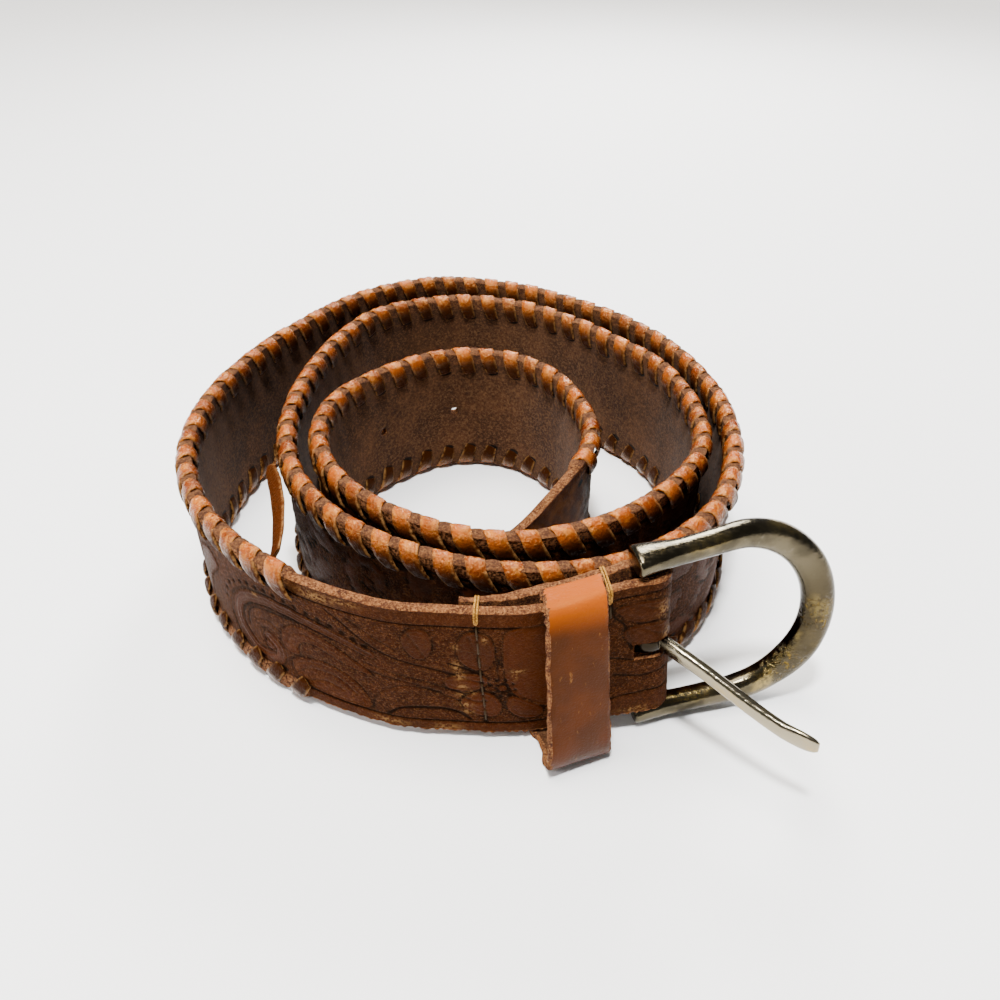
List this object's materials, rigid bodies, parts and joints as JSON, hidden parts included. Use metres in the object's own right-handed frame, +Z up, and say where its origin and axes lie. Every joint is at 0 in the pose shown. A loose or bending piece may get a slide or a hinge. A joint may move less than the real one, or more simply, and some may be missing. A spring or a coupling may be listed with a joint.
{
  "type": "western tooled belt",
  "caption": "Rolled brown western leather belt with floral tooling, laced edges, leather keeper and horseshoe buckle with a prong.",
  "frame": {"origin": "middle of the footprint, on the surface that the belt lies on", "axes": "+Z up, across the strap's width; the coil's front, with the bare end and keeper, faces -Y; the buckle points to +X"},
  "size_m": [0.16, 0.183, 0.051],
  "materials": {
    "leather": "satin",
    "lace": "satin",
    "keeper": "satin",
    "metal": "worn, warm grey"
  },
  "bodies": {
    "belt": {"strap": "leather", "top_lacing": "lace", "bottom_lacing": "lace", "keeper": "keeper"},
    "buckle": {"buckle_frame": "metal"},
    "prong": {"prong": "metal"}
  },
  "joints": [
    {"name": "buckle_hinge", "type": "hinge", "parent": "belt", "child": "buckle", "pos_m": [0.03728, -0.06543, 0.02497], "axis": [-0.0822, 0.0488, 0.9954], "range_deg": [-45, 22]},
    {"name": "prong_hinge", "type": "hinge", "parent": "buckle", "child": "prong", "pos_m": [0.03728, -0.06543, 0.02497], "axis": [-0.0822, 0.0488, 0.9954], "range_deg": [-30, 42]}
  ]
}
